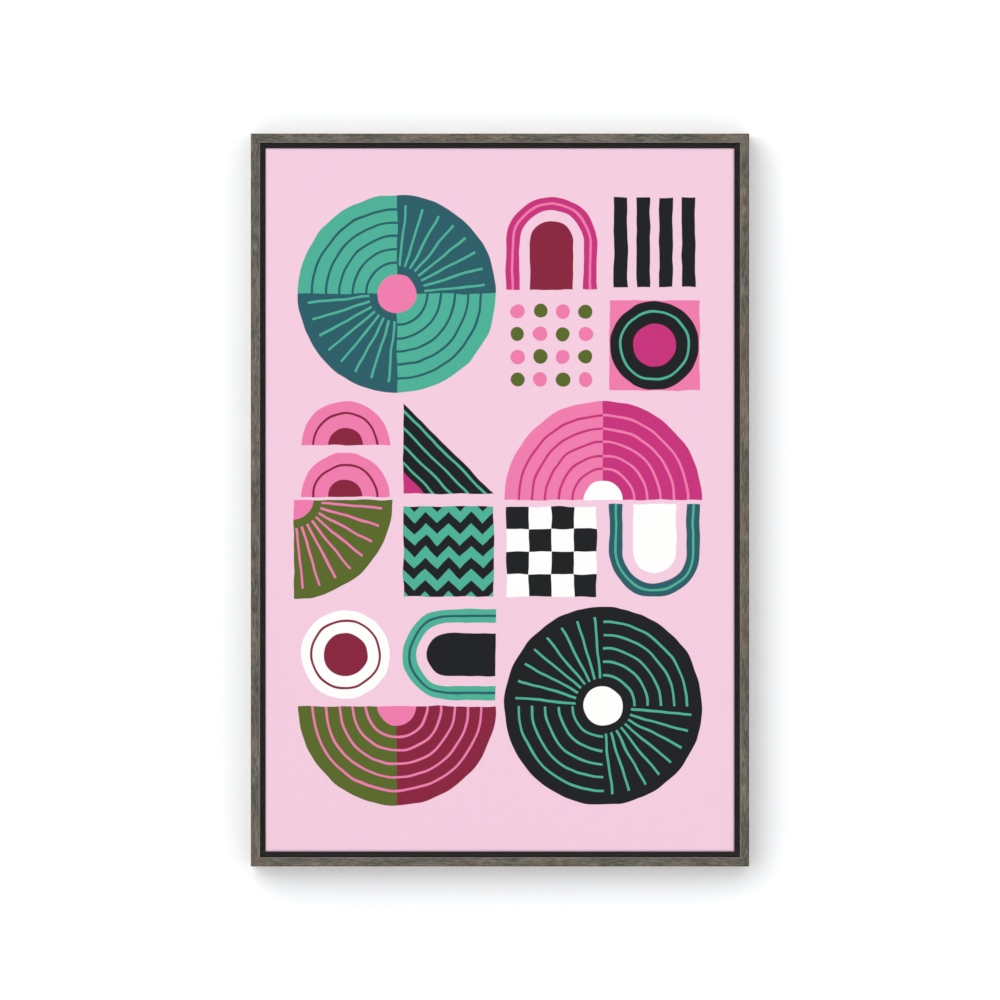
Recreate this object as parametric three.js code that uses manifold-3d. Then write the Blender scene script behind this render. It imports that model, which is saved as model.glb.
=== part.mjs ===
// A stretched canvas print in a floater frame, ready to hang on a wall.
//
// Millimetres. +Z is up, +X is to the right as the print is looked at, and the print faces -Y.
// The origin lies on the wall, at the hanger's middle notch, where the nail carries the frame.
import * as THREE from "three";
import { mergeVertices } from "three/addons/utils/BufferGeometryUtils.js";
import Module from "manifold-3d";

const wasm = await Module();
wasm.setup();

const INCH = 25.4;
const QUARTER_TURN = Math.PI / 2;

// Fits: flat faces on each other, pins in their holes, and how far a cutter runs past what it cuts.
const SEAT = 0.2;
const PIN_CLEARANCE = 0.25;
const MITRE_SEAM = 0.1;
const OVERCUT = 1;

// The canvas print: cloth pulled round four bars and folded onto their backs.
const CANVAS_WIDTH = 24 * INCH;
const CANVAS_HEIGHT = 36 * INCH;
const CANVAS_DEPTH = 35;
const CLOTH = 0.6;
const CLOTH_EDGE_RADIUS = 2;
const CLOTH_FOLD = 28;

// The moulding: a tall outer wall, and a ledge that reaches under the canvas.
const FACE = 12.2;
const REVEAL = 0.75 * INCH - FACE;
const RECESS = 3;
const LEDGE_THICK = 6.5;
const LEDGE_REACH = 34;
const OUTER_EDGE_RADIUS = 1.2;
const INNER_EDGE_RADIUS = 0.7;

// The stretcher bars under the cloth, and the brace across their middle.
const BAR_WIDTH = 36;
const BAR_LIP = 5;
const BAR_SLOPE = 3;
const BRACE_WIDTH = 38;
const BRACE_THICK = 18;
const BRACE_FROM_BACK = 4;
const TENON_WIDTH = 20;
const TENON_LENGTH = 12;

// Screws that hold the canvas down on the ledge, two to a side.
const SCREW_LENGTH = 25;
const SCREW_RADIUS = 1.75;
const SCREW_HEAD_RADIUS = 3.4;
const SCREW_HEAD_DEPTH = 2.2;
const SCREW_FROM_CANVAS_EDGE = 7;
const SCREW_SPACING_SHARE = 0.6;
const DRIVE_SLOT = [0.8, 3.8, 1.5];
const ROUND_STEPS = 16;

// V-nails driven across the mitres from behind.
const V_NAIL_LEG = 4.6;
const V_NAIL_THICK = 0.5;
const V_NAIL_HEIGHT = 5;
const V_NAIL_OPENING = THREE.MathUtils.degToRad(70);
const V_NAIL_INSETS = [6, 23];
const BAR_V_NAIL_INSET = 17;

// The sawtooth hanger on the top rail, and the bumpers on the bottom rail.
const STANDOFF = 3;
const HANGER_LENGTH = 46;
const HANGER_WIDTH = 11;
const HANGER_THICK = 0.8;
const HANGER_RAISED_HALF = 14;
const HANGER_RAMP = 3;
const HANGER_CORNER_RADIUS = 2.5;
const HANGER_FROM_TOP = 8;
const TOOTH_PITCH = 3;
const TOOTH_DEPTH = 2.2;
const NOTCHES_EACH_SIDE = 3;
const NAIL_FROM_MIDDLE = 19.5;
const NAIL_RADIUS = 0.7;
const NAIL_HEAD_RADIUS = 1.8;
const NAIL_HEAD_THICK = 0.7;
const NAIL_LENGTH = 12;
const BUMPER_RADIUS = 6;
const BUMPER_FROM_SIDE = 46;
const BUMPER_CHAMFER = 0.6;

// Sizes that follow.
const OUTER_WIDTH = CANVAS_WIDTH + 2 * (FACE + REVEAL);
const OUTER_HEIGHT = CANVAS_HEIGHT + 2 * (FACE + REVEAL);
const FRAME_DEPTH = LEDGE_THICK + SEAT + CANVAS_DEPTH + RECESS;
const CANVAS_BACK = LEDGE_THICK + SEAT;
const BAR_INSET = CLOTH + SEAT;
const BAR_DEPTH = CANVAS_DEPTH - 2 * BAR_INSET;
const BARS_WIDTH = CANVAS_WIDTH - 2 * BAR_INSET;
const BARS_HEIGHT = CANVAS_HEIGHT - 2 * BAR_INSET;
const NOTCH_BELOW_HANGER_MIDDLE = HANGER_WIDTH / 2 - TOOTH_DEPTH;
const CENTRE_TO_NOTCH = OUTER_HEIGHT / 2 - HANGER_FROM_TOP - NOTCH_BELOW_HANGER_MIDDLE;

const finish = (color, roughness, metalness = 0) =>
  new THREE.MeshStandardMaterial({ color, roughness, metalness });
const FRAME_WOOD = finish(0x69625a, 0.6);
const BAR_WOOD = finish(0xd9bf94, 0.8);
const PRINTED_CLOTH = finish(0xf4cfdf, 0.85);
const ZINC = finish(0xb4b6b8, 0.4, 0.9);
const BRASSED_STEEL = finish(0xc2a25c, 0.35, 0.9);
const FELT = finish(0x3a3a3c, 0.95);

// Closed geometry as a solid for cutting, moved by a matrix on the way.
function solidOf(geometry, matrix = new THREE.Matrix4()) {
  const bare = geometry.clone().applyMatrix4(matrix);
  bare.deleteAttribute("normal");
  bare.deleteAttribute("uv");
  const merged = mergeVertices(bare, 1e-4);
  return new wasm.Manifold(
    new wasm.Mesh({
      numProp: 3,
      vertProperties: new Float32Array(merged.attributes.position.array),
      triVerts: new Uint32Array(merged.index.array),
    }),
  );
}

function geometryOf(solid) {
  const mesh = solid.getMesh();
  const geometry = new THREE.BufferGeometry();
  geometry.setAttribute("position", new THREE.BufferAttribute(mesh.vertProperties, 3));
  geometry.setIndex(new THREE.BufferAttribute(mesh.triVerts, 1));
  geometry.computeVertexNormals();
  return geometry;
}

// Cuts a tool, where it is placed, out of a mesh.
function cut(target, tool) {
  target.updateWorldMatrix(true, false);
  tool.updateWorldMatrix(true, false);
  const toTarget = target.matrixWorld.clone().invert().multiply(tool.matrixWorld);
  target.geometry = geometryOf(solidOf(target.geometry).subtract(solidOf(tool.geometry, toTarget)));
}

function piece(name, geometry, material) {
  const mesh = new THREE.Mesh(geometry, material);
  mesh.name = name;
  return mesh;
}

// A rectangle's sides: how far each is turned about Y, its length, and its distance from the centre.
const sidesOf = (width, height) => [
  { name: "top", turn: 0, length: width, reach: height / 2 },
  { name: "right", turn: QUARTER_TURN, length: height, reach: width / 2 },
  { name: "bottom", turn: 2 * QUARTER_TURN, length: width, reach: height / 2 },
  { name: "left", turn: -QUARTER_TURN, length: height, reach: width / 2 },
];

const CORNERS = [
  { name: "top_right", x: 1, z: 1 },
  { name: "bottom_right", x: 1, z: -1 },
  { name: "bottom_left", x: -1, z: -1 },
  { name: "top_left", x: -1, z: 1 },
];

// A top bar with both ends cut at 45 degrees. In its section, x runs inwards from the outer edge, and y from
// the back to the front.
function mitredBar(section, outerLength) {
  const geometry = new THREE.ExtrudeGeometry(section, { depth: 1, bevelEnabled: false, curveSegments: 4 });
  const points = geometry.attributes.position;
  for (let i = 0; i < points.count; i += 1) {
    const inwards = points.getX(i);
    const forwards = points.getY(i);
    const end = points.getZ(i) > 0.5 ? -1 : 1;
    const halfLength = outerLength / 2 - inwards - MITRE_SEAM / 2;
    points.setXYZ(i, end * halfLength, -forwards, -inwards);
  }
  return geometry;
}

// L-shaped, with both front edges of the face eased.
function mouldingSection() {
  const section = new THREE.Shape();
  section.moveTo(0, 0);
  section.lineTo(LEDGE_REACH, 0);
  section.lineTo(LEDGE_REACH, LEDGE_THICK);
  section.lineTo(FACE, LEDGE_THICK);
  section.lineTo(FACE, FRAME_DEPTH - INNER_EDGE_RADIUS);
  const [inner, outer] = [INNER_EDGE_RADIUS, OUTER_EDGE_RADIUS];
  section.absarc(FACE - inner, FRAME_DEPTH - inner, inner, 0, QUARTER_TURN);
  section.lineTo(outer, FRAME_DEPTH);
  section.absarc(outer, FRAME_DEPTH - outer, outer, QUARTER_TURN, 2 * QUARTER_TURN);
  return section;
}

// The bar's front slopes away behind its outer lip, so that the cloth touches the lip alone.
function barSection() {
  const edgeRadius = CLOTH_EDGE_RADIUS - CLOTH;
  const section = new THREE.Shape();
  section.moveTo(0, 0);
  section.lineTo(BAR_WIDTH, 0);
  section.lineTo(BAR_WIDTH, BAR_DEPTH - BAR_SLOPE);
  section.lineTo(BAR_LIP, BAR_DEPTH);
  section.lineTo(edgeRadius, BAR_DEPTH);
  section.absarc(edgeRadius, BAR_DEPTH - edgeRadius, edgeRadius, QUARTER_TURN, 2 * QUARTER_TURN);
  return section;
}

// A block with a rounded front edge, as rings of four corners from back to front.
function easedBlock(width, height, depth, radius, steps = 4) {
  const rings = [{ inset: 0, forwards: 0 }];
  for (let i = 0; i <= steps; i += 1) {
    const angle = (i / steps) * QUARTER_TURN;
    rings.push({
      inset: radius * (1 - Math.cos(angle)),
      forwards: depth - radius * (1 - Math.sin(angle)),
    });
  }
  const points = rings.flatMap(({ inset, forwards }) =>
    CORNERS.flatMap(({ x, z }) => [x * (width / 2 - inset), -forwards, z * (height / 2 - inset)]),
  );
  const faces = [0, 1, 2, 0, 2, 3];
  for (let ring = 0; ring < rings.length - 1; ring += 1) {
    for (let corner = 0; corner < 4; corner += 1) {
      const [a, b] = [ring * 4 + corner, ring * 4 + ((corner + 1) % 4)];
      faces.push(a, b + 4, b, a, a + 4, b + 4);
    }
  }
  const front = (rings.length - 1) * 4;
  faces.push(front, front + 2, front + 1, front, front + 3, front + 2);
  const geometry = new THREE.BufferGeometry();
  geometry.setAttribute("position", new THREE.Float32BufferAttribute(points, 3));
  geometry.setIndex(faces);
  return geometry;
}

// Cloth over the front, round the sides and a fold's width onto the back.
function clothGeometry() {
  const outside = easedBlock(CANVAS_WIDTH, CANVAS_HEIGHT, CANVAS_DEPTH, CLOTH_EDGE_RADIUS);
  const inside = easedBlock(
    CANVAS_WIDTH - 2 * CLOTH, CANVAS_HEIGHT - 2 * CLOTH, CANVAS_DEPTH - 2 * CLOTH, CLOTH_EDGE_RADIUS - CLOTH,
  );
  inside.translate(0, -CLOTH, 0);
  const openBack = new THREE.BoxGeometry(
    CANVAS_WIDTH - 2 * CLOTH_FOLD, CANVAS_DEPTH, CANVAS_HEIGHT - 2 * CLOTH_FOLD,
  );
  return geometryOf(solidOf(outside).subtract(solidOf(inside)).subtract(solidOf(openBack)));
}

// One outline with a tenon at each end.
function braceGeometry() {
  const half = BARS_WIDTH / 2 - BAR_WIDTH - SEAT;
  const tip = half + TENON_LENGTH;
  const corners = [
    [half, BRACE_WIDTH / 2], [half, TENON_WIDTH / 2], [tip, TENON_WIDTH / 2],
    [tip, -TENON_WIDTH / 2], [half, -TENON_WIDTH / 2], [half, -BRACE_WIDTH / 2],
  ];
  const mirrored = corners.map(([x, z]) => [-x, -z]);
  const outline = new THREE.Shape([...corners, ...mirrored].map(([x, z]) => new THREE.Vector2(x, z)));
  const geometry = new THREE.ExtrudeGeometry(outline, { depth: BRACE_THICK, bevelEnabled: false });
  return geometry.rotateX(QUARTER_TURN);
}

// Both side bars' mortises in one block.
function mortiseGeometry() {
  const length = BARS_WIDTH - 2 * (BAR_WIDTH - TENON_LENGTH - SEAT);
  return new THREE.BoxGeometry(length, BRACE_THICK + 2 * PIN_CLEARANCE, TENON_WIDTH + 2 * PIN_CLEARANCE);
}

const turned = (points) =>
  new THREE.LatheGeometry(points.map(([radius, y]) => new THREE.Vector2(radius, y)), ROUND_STEPS);

// A countersunk screw driven towards -Y, its head flush with y = 0.
function screwGeometry() {
  const body = turned([
    [0, -SCREW_LENGTH],
    [SCREW_RADIUS, -SCREW_LENGTH + 2 * SCREW_RADIUS],
    [SCREW_RADIUS, -SCREW_HEAD_DEPTH],
    [SCREW_HEAD_RADIUS, 0],
    [0, 0],
  ]);
  const [width, length, depth] = DRIVE_SLOT;
  const slot = new THREE.BoxGeometry(length, 2 * depth, width);
  const crossSlot = slot.clone().rotateY(QUARTER_TURN);
  return geometryOf(solidOf(body).subtract(solidOf(slot)).subtract(solidOf(crossSlot)));
}

function screwHoleGeometry() {
  const radius = SCREW_RADIUS + PIN_CLEARANCE;
  const headRadius = SCREW_HEAD_RADIUS + PIN_CLEARANCE;
  const bottom = -SCREW_LENGTH - PIN_CLEARANCE;
  return turned([
    [0, bottom],
    [radius, bottom],
    [radius, -SCREW_HEAD_DEPTH],
    [headRadius, 0],
    [headRadius, OVERCUT],
    [0, OVERCUT],
  ]);
}

// A nail driven towards -Y, the underside of its head at y = 0.
function nailGeometry() {
  return turned([
    [0, -NAIL_LENGTH],
    [NAIL_RADIUS, -NAIL_LENGTH + 2 * NAIL_RADIUS],
    [NAIL_RADIUS, 0],
    [NAIL_HEAD_RADIUS, 0],
    [NAIL_HEAD_RADIUS, NAIL_HEAD_THICK / 2],
    [NAIL_HEAD_RADIUS / 2, NAIL_HEAD_THICK],
    [0, NAIL_HEAD_THICK],
  ]);
}

function nailHoleGeometry() {
  const radius = NAIL_RADIUS + PIN_CLEARANCE;
  const bottom = -NAIL_LENGTH - PIN_CLEARANCE;
  return turned([[0, bottom], [radius, bottom], [radius, OVERCUT], [0, OVERCUT]]);
}

// A steel strip bent to a V that points along +X, flush with y = 0, or the slot that takes it.
function vNailGeometry(clearance = 0, overcut = 0) {
  const half = V_NAIL_THICK / 2 + clearance;
  const leg = V_NAIL_LEG + clearance;
  const [along, across] = [Math.cos(V_NAIL_OPENING / 2), Math.sin(V_NAIL_OPENING / 2)];
  const outerEnd = new THREE.Vector2(-leg * along + half * across, leg * across + half * along);
  const innerEnd = new THREE.Vector2(-leg * along - half * across, leg * across - half * along);
  const mirrored = (point) => new THREE.Vector2(point.x, -point.y);
  const outline = new THREE.Shape([
    new THREE.Vector2(half / across, 0),
    outerEnd,
    innerEnd,
    new THREE.Vector2(-half / across, 0),
    mirrored(innerEnd),
    mirrored(outerEnd),
  ]);
  const depth = V_NAIL_HEIGHT + clearance + overcut;
  const geometry = new THREE.ExtrudeGeometry(outline, { depth, bevelEnabled: false });
  return geometry.rotateX(QUARTER_TURN).translate(0, overcut, 0);
}

// A strip whose middle stands off the rail, with its lower edge notched to catch the wall's nail.
function hangerGeometry() {
  const rise = STANDOFF - HANGER_THICK;
  const half = HANGER_LENGTH / 2;
  const foot = HANGER_RAISED_HALF + HANGER_RAMP;
  const upper = [
    [half, HANGER_THICK], [foot, HANGER_THICK], [HANGER_RAISED_HALF, STANDOFF],
    [-HANGER_RAISED_HALF, STANDOFF], [-foot, HANGER_THICK], [-half, HANGER_THICK],
  ];
  const lower = [
    [-half, SEAT / 2], [-foot, SEAT / 2], [-HANGER_RAISED_HALF, rise],
    [HANGER_RAISED_HALF, rise], [foot, SEAT / 2], [half, SEAT / 2],
  ];
  const bent = new THREE.Shape([...upper, ...lower].map(([x, y]) => new THREE.Vector2(x, y)));
  const strip = new THREE.ExtrudeGeometry(bent, { depth: HANGER_WIDTH, bevelEnabled: false });
  strip.translate(0, 0, -HANGER_WIDTH / 2);

  const outline = new THREE.Shape();
  const edge = HANGER_WIDTH / 2;
  const corner = HANGER_CORNER_RADIUS;
  outline.moveTo(half - corner, edge);
  outline.lineTo(-half + corner, edge);
  outline.absarc(-half + corner, edge - corner, corner, QUARTER_TURN, 2 * QUARTER_TURN);
  outline.absarc(-half + corner, -edge + corner, corner, 2 * QUARTER_TURN, 3 * QUARTER_TURN);
  for (let i = -NOTCHES_EACH_SIDE; i <= NOTCHES_EACH_SIDE; i += 1) {
    outline.lineTo((i - 0.5) * TOOTH_PITCH, -edge);
    outline.lineTo(i * TOOTH_PITCH, -edge + TOOTH_DEPTH);
  }
  outline.lineTo((NOTCHES_EACH_SIDE + 0.5) * TOOTH_PITCH, -edge);
  outline.lineTo(half - corner, -edge);
  outline.absarc(half - corner, -edge + corner, corner, -QUARTER_TURN, 0);
  outline.absarc(half - corner, edge - corner, corner, 0, QUARTER_TURN);
  const depth = STANDOFF + 2 * OVERCUT;
  const blank = new THREE.ExtrudeGeometry(outline, { depth, bevelEnabled: false, curveSegments: 3 });
  blank.rotateX(QUARTER_TURN).translate(0, STANDOFF + OVERCUT, 0);
  return geometryOf(solidOf(strip).intersect(solidOf(blank)));
}

function bumperGeometry() {
  return turned([
    [0, SEAT / 2],
    [BUMPER_RADIUS, SEAT / 2],
    [BUMPER_RADIUS, STANDOFF - BUMPER_CHAMFER],
    [BUMPER_RADIUS - BUMPER_CHAMFER, STANDOFF],
    [0, STANDOFF],
  ]);
}

// Everything is placed from the centre of the frame's back.
const picture = new THREE.Group();
picture.position.set(0, -STANDOFF, -CENTRE_TO_NOTCH);

const rails = new Map();
const bars = new Map();
const canvasPrint = new THREE.Group();
canvasPrint.position.y = -CANVAS_BACK;
picture.add(canvasPrint);

for (const { name, turn, length, reach } of sidesOf(OUTER_WIDTH, OUTER_HEIGHT)) {
  const side = new THREE.Group();
  side.rotation.y = turn;
  const rail = piece(`frame_rail_${name}`, mitredBar(mouldingSection(), length), FRAME_WOOD);
  rail.position.z = reach;
  side.add(rail);
  picture.add(side);
  rails.set(name, rail);
}

for (const { name, turn, length, reach } of sidesOf(BARS_WIDTH, BARS_HEIGHT)) {
  const side = new THREE.Group();
  side.rotation.y = turn;
  const bar = piece(`stretcher_bar_${name}`, mitredBar(barSection(), length), BAR_WOOD);
  bar.position.set(0, -BAR_INSET, reach);
  side.add(bar);
  canvasPrint.add(side);
  bars.set(name, bar);
}

const cloth = piece("canvas_cloth", clothGeometry(), PRINTED_CLOTH);
canvasPrint.add(cloth);

const brace = piece("centre_brace", braceGeometry(), BAR_WOOD);
brace.position.y = -BAR_INSET - BRACE_FROM_BACK;
canvasPrint.add(brace);
const mortise = new THREE.Mesh(mortiseGeometry());
mortise.position.y = -BAR_INSET - BRACE_FROM_BACK - BRACE_THICK / 2;
canvasPrint.add(mortise);
cut(bars.get("left"), mortise);
cut(bars.get("right"), mortise);
canvasPrint.remove(mortise);

// Two screws to a side, through the ledge and the folded cloth into the bar.
for (const { name, turn, length, reach } of sidesOf(CANVAS_WIDTH, CANVAS_HEIGHT)) {
  const side = new THREE.Group();
  side.rotation.y = turn;
  picture.add(side);
  for (const end of [-1, 1]) {
    const screw = piece(`mount_screw_${name}_${end < 0 ? "a" : "b"}`, screwGeometry(), ZINC);
    const hole = new THREE.Mesh(screwHoleGeometry());
    screw.position.set((end * SCREW_SPACING_SHARE * length) / 2, 0, reach - SCREW_FROM_CANVAS_EDGE);
    hole.position.copy(screw.position);
    side.add(screw, hole);
    cut(rails.get(name), hole);
    cut(cloth, hole);
    cut(bars.get(name), hole);
    side.remove(hole);
  }
}

// Drives a V-nail into a mitre from behind, its point outwards, and cuts its slot out of the bars there.
function driveVNail(group, name, x, z, members) {
  const nail = piece(name, vNailGeometry(), ZINC);
  const slot = new THREE.Mesh(vNailGeometry(PIN_CLEARANCE, OVERCUT));
  nail.position.set(x, 0, z);
  slot.position.set(x, 0, z);
  nail.rotation.y = -Math.atan2(Math.sign(z), Math.sign(x));
  slot.rotation.y = nail.rotation.y;
  group.add(nail, slot);
  members.forEach((member) => cut(member, slot));
  group.remove(slot);
}

const barJoints = new THREE.Group();
barJoints.position.y = -BAR_INSET;
canvasPrint.add(barJoints);
for (const { name, x, z } of CORNERS) {
  const meeting = name.split("_");
  const cornerRails = meeting.map((side) => rails.get(side));
  const cornerBars = meeting.map((side) => bars.get(side));
  V_NAIL_INSETS.forEach((inset, i) => {
    const [nailX, nailZ] = [x * (OUTER_WIDTH / 2 - inset), z * (OUTER_HEIGHT / 2 - inset)];
    driveVNail(picture, `frame_v_nail_${name}_${i + 1}`, nailX, nailZ, cornerRails);
  });
  const inset = BAR_V_NAIL_INSET;
  const [nailX, nailZ] = [x * (BARS_WIDTH / 2 - inset), z * (BARS_HEIGHT / 2 - inset)];
  driveVNail(barJoints, `stretcher_v_nail_${name}`, nailX, nailZ, cornerBars);
}

// The hanger and its two nails.
const hangerPlace = new THREE.Group();
hangerPlace.position.z = OUTER_HEIGHT / 2 - HANGER_FROM_TOP;
picture.add(hangerPlace);
const hanger = piece("sawtooth_hanger", hangerGeometry(), BRASSED_STEEL);
hangerPlace.add(hanger);
for (const end of [-1, 1]) {
  const nail = piece(`hanger_nail_${end < 0 ? "left" : "right"}`, nailGeometry(), BRASSED_STEEL);
  const hole = new THREE.Mesh(nailHoleGeometry());
  nail.position.set(end * NAIL_FROM_MIDDLE, HANGER_THICK + SEAT / 2, 0);
  hole.position.copy(nail.position);
  hangerPlace.add(nail, hole);
  cut(hanger, hole);
  cut(rails.get("top"), hole);
  hangerPlace.remove(hole);
}

for (const end of [-1, 1]) {
  const bumper = piece(`wall_bumper_${end < 0 ? "left" : "right"}`, bumperGeometry(), FELT);
  bumper.position.set(end * (OUTER_WIDTH / 2 - BUMPER_FROM_SIDE), 0, -OUTER_HEIGHT / 2 + LEDGE_REACH / 2);
  picture.add(bumper);
}

export default picture;
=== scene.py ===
# %% [markdown]
# # A canvas print in a floater frame
#
# The object is a printed canvas, stretched round four pine bars and set back in a narrow wooden frame, with
# a dark gap all round it. Its solids are made already, at their real size, and they stay where they are.
# Everything could be modelled again here. Loading the solids is better, because what carries and fastens
# the picture is then settled, and this lesson only has to make the finishes and the soft parts.

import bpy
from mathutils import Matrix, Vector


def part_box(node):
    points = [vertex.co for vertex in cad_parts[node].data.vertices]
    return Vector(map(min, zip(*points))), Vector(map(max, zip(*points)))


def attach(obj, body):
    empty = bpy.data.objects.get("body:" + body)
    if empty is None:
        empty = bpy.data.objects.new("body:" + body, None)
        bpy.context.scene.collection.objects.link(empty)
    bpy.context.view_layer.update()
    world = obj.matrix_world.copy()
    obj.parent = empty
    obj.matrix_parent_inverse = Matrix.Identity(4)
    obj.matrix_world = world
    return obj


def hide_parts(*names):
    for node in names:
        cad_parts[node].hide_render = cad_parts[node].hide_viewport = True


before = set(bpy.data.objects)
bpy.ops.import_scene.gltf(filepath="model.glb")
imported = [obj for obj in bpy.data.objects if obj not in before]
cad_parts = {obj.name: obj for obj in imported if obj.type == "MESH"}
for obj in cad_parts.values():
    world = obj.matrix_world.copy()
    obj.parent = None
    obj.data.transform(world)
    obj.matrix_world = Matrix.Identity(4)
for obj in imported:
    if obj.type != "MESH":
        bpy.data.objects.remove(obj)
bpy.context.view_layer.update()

# %% Measures, in metres
import math
import random

import bmesh
import bpy
from mathutils import Vector, noise

MM = 0.001
FRAME_HALF_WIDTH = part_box("frame_rail_right")[1].x
FRAME_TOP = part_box("frame_rail_top")[1].z
FRAME_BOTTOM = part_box("frame_rail_bottom")[0].z
FRAME_HALF_HEIGHT = (FRAME_TOP - FRAME_BOTTOM) / 2
CENTRE_Z = (FRAME_TOP + FRAME_BOTTOM) / 2
FRAME_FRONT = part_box("frame_rail_top")[0].y
FRAME_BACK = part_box("frame_rail_top")[1].y
FACE_WIDTH = 12.2 * MM
LEDGE_REACH = FRAME_HALF_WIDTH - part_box("frame_rail_right")[0].x
CANVAS_LOW, CANVAS_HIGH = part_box("canvas_cloth")
CANVAS_HALF_WIDTH = CANVAS_HIGH.x
CANVAS_HALF_HEIGHT = (CANVAS_HIGH.z - CANVAS_LOW.z) / 2
CANVAS_DEPTH = CANVAS_HIGH.y - CANVAS_LOW.y
CLOTH_FOLD = 28 * MM
print(f"frame {2000 * FRAME_HALF_WIDTH:.1f} x {2000 * FRAME_HALF_HEIGHT:.1f} mm outside")
print(f"canvas {2000 * CANVAS_HALF_WIDTH:.1f} x {2000 * CANVAS_HALF_HEIGHT:.1f} mm")

# %% [markdown]
# ## Writing node maths as sums
#
# Each finish is worked out by nodes. They could be placed and linked one at a time, but that takes many
# lines and hides the idea. A small class lets a socket be added, multiplied and compared like a number
# instead, and each such step puts one node into the material.

# %% A socket that works in sums
def plug(tree, slot, value):
    """Links a field to an input, or sets the input's own value."""
    if isinstance(value, Field):
        tree.links.new(value.socket, slot)
    else:
        slot.default_value = value


class Field:
    """A number, vector or colour that changes over a surface."""

    def __init__(self, tree, socket):
        self.tree = tree
        self.socket = socket

    def math(self, operation, *others):
        node = self.tree.nodes.new("ShaderNodeMath")
        node.operation = operation
        for slot, value in zip(node.inputs, (self, *others)):
            plug(self.tree, slot, value)
        return Field(self.tree, node.outputs[0])

    def __add__(self, other):
        return self.math("ADD", other)

    def __sub__(self, other):
        return self.math("SUBTRACT", other)

    def __mul__(self, other):
        return self.math("MULTIPLY", other)

    def __truediv__(self, other):
        return self.math("DIVIDE", other)

    def __neg__(self):
        return self.math("MULTIPLY", -1.0)

    def __abs__(self):
        return self.math("ABSOLUTE")

    def __lt__(self, other):
        return self.math("LESS_THAN", other)

    def __gt__(self, other):
        return self.math("GREATER_THAN", other)


# %% Nodes that take fields
def new_node(tree, kind, inputs, output=0, **settings):
    node = tree.nodes.new(kind)
    for name, value in settings.items():
        setattr(node, name, value)
    for name, value in inputs.items():
        plug(tree, node.inputs[name], value)
    return Field(tree, node.outputs[output])


def split(vector):
    node = vector.tree.nodes.new("ShaderNodeSeparateXYZ")
    plug(vector.tree, node.inputs[0], vector)
    return [Field(vector.tree, output) for output in node.outputs]


def join(tree, x, y, z=0.0):
    return new_node(tree, "ShaderNodeCombineXYZ", {"X": x, "Y": y, "Z": z})


def cloudy(place, scale=1.0, detail=2.0, roughness=0.5):
    """Soft noise from 0 to 1."""
    inputs = {"Vector": place, "Scale": scale, "Detail": detail, "Roughness": roughness}
    return new_node(place.tree, "ShaderNodeTexNoise", inputs)


def ramp(value, low, high, to_low=0.0, to_high=1.0):
    """The value carried from one range to another, and held at its ends."""
    inputs = {"Value": value, "From Min": low, "From Max": high, "To Min": to_low, "To Max": to_high}
    return new_node(value.tree, "ShaderNodeMapRange", inputs)


def mix(factor, first, second):
    """The first colour where the factor is 0, and the second where it is 1."""
    return new_node(factor.tree, "ShaderNodeMix", {0: factor, 6: first, 7: second}, 2, data_type="RGBA")


# %% Node groups, and new finishes
SOCKETS = {"VALUE": "NodeSocketFloat", "VECTOR": "NodeSocketVector", "RGBA": "NodeSocketColor"}


def open_group(name, vectors=(), numbers=()):
    """A new node group's tree, and its inputs as fields."""
    tree = bpy.data.node_groups.new(name, "ShaderNodeTree")
    for label in vectors:
        tree.interface.new_socket(label, in_out="INPUT", socket_type=SOCKETS["VECTOR"])
    for label in numbers:
        tree.interface.new_socket(label, in_out="INPUT", socket_type=SOCKETS["VALUE"])
    source = tree.nodes.new("NodeGroupInput")
    return tree, [Field(tree, source.outputs[label]) for label in (*vectors, *numbers)]


def close_group(tree, **outputs):
    for label, field in outputs.items():
        tree.interface.new_socket(label, in_out="OUTPUT", socket_type=SOCKETS[field.socket.type])
    sink = tree.nodes.new("NodeGroupOutput")
    for label, field in outputs.items():
        tree.links.new(field.socket, sink.inputs[label])
    print(f"group {tree.name}: {len(tree.nodes)} nodes, gives {', '.join(outputs)}")
    return tree


def use_group(tree, group, **inputs):
    """Places a group in a tree, and returns its outputs by name."""
    node = tree.nodes.new("ShaderNodeGroup")
    node.node_tree = group
    for label, value in inputs.items():
        plug(tree, node.inputs[label], value)
    return {output.name: Field(tree, output) for output in node.outputs}


def new_finish(name, **constants):
    """A material, its tree and its shader. Constants are set on the shader's own sockets."""
    material = bpy.data.materials.new(name)
    material.use_nodes = True
    shader = material.node_tree.nodes["Principled BSDF"]
    for label, value in constants.items():
        shader.inputs[label.replace("_", " ")].default_value = value
    return material, material.node_tree, shader


def bump(tree, shader, height, strength, depth):
    """Feeds a height to the shader's normal. A height of 1 is as deep as depth, in metres."""
    normal = new_node(tree, "ShaderNodeBump", {"Height": height, "Strength": strength, "Distance": depth})
    plug(tree, shader.inputs["Normal"], normal)


def object_place(tree):
    """The place in the model, in metres."""
    return new_node(tree, "ShaderNodeTexCoord", {}, "Object")


# %% [markdown]
# ## Light and colour
#
# A colour is named here by what it looks like on a screen, from 0 to 255. The wall round the frame has to
# come out pure white, so the light is a little brighter than white needs, and every surface's own colour
# has to be that much darker. Painting by eye until it looks right would work too, but one division gets
# every ink right.

# %% Screen colours as surface colours
DOME_LIGHT = 0.97
KEY_LIGHT = 0.26
LIGHT_LEVEL = DOME_LIGHT + KEY_LIGHT


def linear(value):
    share = value / 255
    return share / 12.92 if share <= 0.04045 else ((share + 0.055) / 1.055) ** 2.4


def seen_as(red, green, blue, light=LIGHT_LEVEL):
    """The surface colour that shows as this screen colour under the scene's light."""
    return (*(min(linear(value) / light, 1.0) for value in (red, green, blue)), 1.0)


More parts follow.
